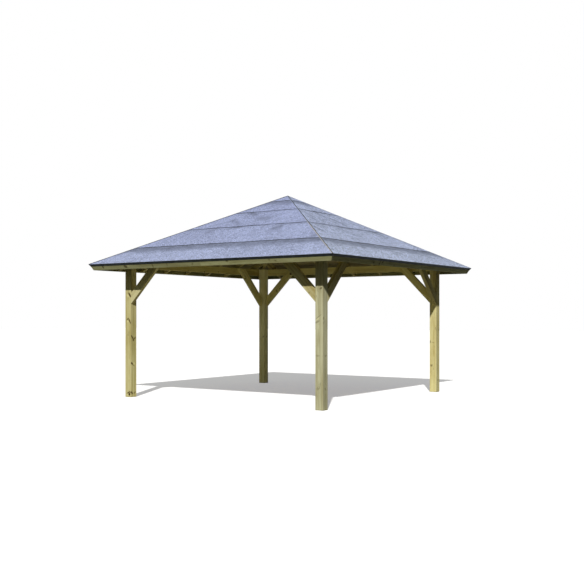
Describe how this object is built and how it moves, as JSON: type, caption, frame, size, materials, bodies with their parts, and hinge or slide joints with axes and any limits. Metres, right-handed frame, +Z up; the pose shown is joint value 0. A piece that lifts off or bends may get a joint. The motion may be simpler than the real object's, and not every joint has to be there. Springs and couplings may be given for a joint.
{
  "type": "garden gazebo",
  "caption": "Open square timber gazebo: corner posts with knee braces, a ring of beams, and a boarded and felted pyramid roof on hip and jack rafters.",
  "frame": {"origin": "centre of the square footprint, on the ground", "axes": "+Z up; the front side faces -Y and the right side faces +X"},
  "size_m": [4.5408, 4.5408, 3.2765],
  "materials": {
    "post_timber": "planed pressure-treated softwood, pale green-yellow with brown knots",
    "frame_timber": "planed pressure-treated softwood, pale green-yellow with brown knots",
    "board_timber": "planed tongued and grooved softwood boards",
    "fascia_timber": "planed pressure-treated softwood board",
    "felt": "bitumen roofing felt with a blue-grey mineral surface",
    "edge_felt": "dark bitumen felt, matte",
    "hip_strip": "narrow strip of mineral felt with a dark edge"
  },
  "bodies": {
    "root": {"front_left_post": "post_timber", "front_left_hip_rafter": "frame_timber", "front_left_hip_strip": "hip_strip", "front_right_post": "post_timber", "front_right_hip_rafter": "frame_timber", "front_right_hip_strip": "hip_strip", "back_right_post": "post_timber", "back_right_hip_rafter": "frame_timber", "back_right_hip_strip": "hip_strip", "back_left_post": "post_timber", "back_left_hip_rafter": "frame_timber", "back_left_hip_strip": "hip_strip", "front_beam": "frame_timber", "front_side_left_brace": "frame_timber", "front_side_right_brace": "frame_timber", "front_rafters": "frame_timber", "front_roof_boards": "board_timber", "front_felt": "felt", "front_fascia": "fascia_timber", "front_drip_edge": "edge_felt", "right_beam": "frame_timber", "right_side_front_brace": "frame_timber", "right_side_back_brace": "frame_timber", "right_rafters": "frame_timber", "right_roof_boards": "board_timber", "right_felt": "felt", "right_fascia": "fascia_timber", "right_drip_edge": "edge_felt", "back_beam": "frame_timber", "back_side_left_brace": "frame_timber", "back_side_right_brace": "frame_timber", "back_rafters": "frame_timber", "back_roof_boards": "board_timber", "back_felt": "felt", "back_fascia": "fascia_timber", "back_drip_edge": "edge_felt", "left_beam": "frame_timber", "left_side_front_brace": "frame_timber", "left_side_back_brace": "frame_timber", "left_rafters": "frame_timber", "left_roof_boards": "board_timber", "left_felt": "felt", "left_fascia": "fascia_timber", "left_drip_edge": "edge_felt", "apex_block": "frame_timber"}
  },
  "joints": []
}
